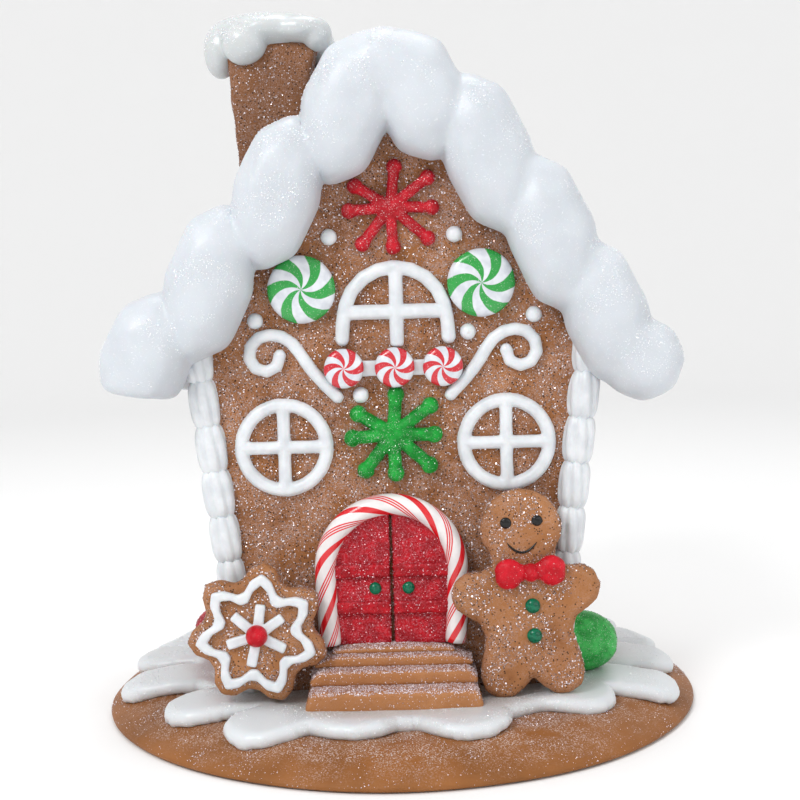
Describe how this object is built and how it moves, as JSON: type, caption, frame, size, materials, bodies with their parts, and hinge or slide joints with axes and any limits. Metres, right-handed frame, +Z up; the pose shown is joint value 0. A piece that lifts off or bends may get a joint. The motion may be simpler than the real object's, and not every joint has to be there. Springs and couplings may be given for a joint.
{
  "type": "gingerbread house figurine",
  "caption": "Glittered clay figurine of a gingerbread house with snow icing, a chimney, sweets, a star cookie and a gingerbread man, standing on a round gingerbread base.",
  "frame": {"origin": "centre of the base's flat underside", "axes": "+Z up, the front with the door faces -Y, +X to the right seen from the front"},
  "size_m": [0.2188, 0.22, 0.2528],
  "materials": {
    "gingerbread": "baked-brown modelling clay with fine silver glitter",
    "gingerbread_base": "smooth caramel-brown modelling clay, lightly dusted",
    "snow_icing": "satin bluish-white resin snow with fine glitter",
    "white_icing": "satin white piped lines",
    "red_icing": "red clay, lightly glittered",
    "green_icing": "green clay, lightly glittered",
    "red_sugar": "red clay under clear sugar crystals",
    "candy_stripe": "white rod with spiral red stripes",
    "mint_green": "white disc with green swirled stripes",
    "mint_red": "white disc with red swirled stripes",
    "green_gumdrop": "green clay under fine sugar",
    "red_gumdrop": "red clay under fine sugar",
    "teal_stud": "glossy teal-green enamel",
    "black_dot": "glossy black enamel"
  },
  "bodies": {
    "root": {"base": "gingerbread_base", "icing_sheet": "snow_icing", "house": "gingerbread", "roof_panel_left": "gingerbread", "roof_panel_right": "gingerbread", "roof_snow": "snow_icing", "roof_trim_front": "snow_icing", "roof_trim_back": "snow_icing", "chimney": "gingerbread", "chimney_cap": "snow_icing", "arch_window": "white_icing", "window_sill": "white_icing", "snowflake_red": "red_icing", "snowflake_green": "green_icing", "candy_cane_arch": "candy_stripe", "man": "gingerbread", "man_bow_tie": "red_icing", "man_eye_1": "black_dot", "man_eye_2": "black_dot", "man_button_1": "teal_stud", "man_button_2": "teal_stud", "cookie": "gingerbread", "cookie_icing_star": "white_icing", "cookie_icing_spokes": "white_icing", "cookie_red_ball": "red_icing", "gumdrop_green": "green_gumdrop", "gumdrop_red": "red_gumdrop", "gumdrop_green_foot": "white_icing", "gumdrop_red_foot": "white_icing", "corner_piping_front_left": "white_icing", "corner_piping_back_left": "white_icing", "round_window_left": "white_icing", "scroll_left": "white_icing", "mint_green_left": "mint_green", "door_leaf_left": "red_sugar", "door_knob_left": "teal_stud", "corner_piping_front_right": "white_icing", "corner_piping_back_right": "white_icing", "round_window_right": "white_icing", "scroll_right": "white_icing", "mint_green_right": "mint_green", "door_leaf_right": "red_sugar", "door_knob_right": "teal_stud", "icing_dot_1": "white_icing", "icing_dot_2": "white_icing", "icing_dot_3": "white_icing", "icing_dot_4": "white_icing", "icing_dot_5": "white_icing", "icing_dot_6": "white_icing", "mint_red_1": "mint_red", "mint_red_2": "mint_red", "mint_red_3": "mint_red", "step_1": "gingerbread", "step_2": "gingerbread", "step_3": "gingerbread", "step_4": "gingerbread"}
  },
  "joints": []
}
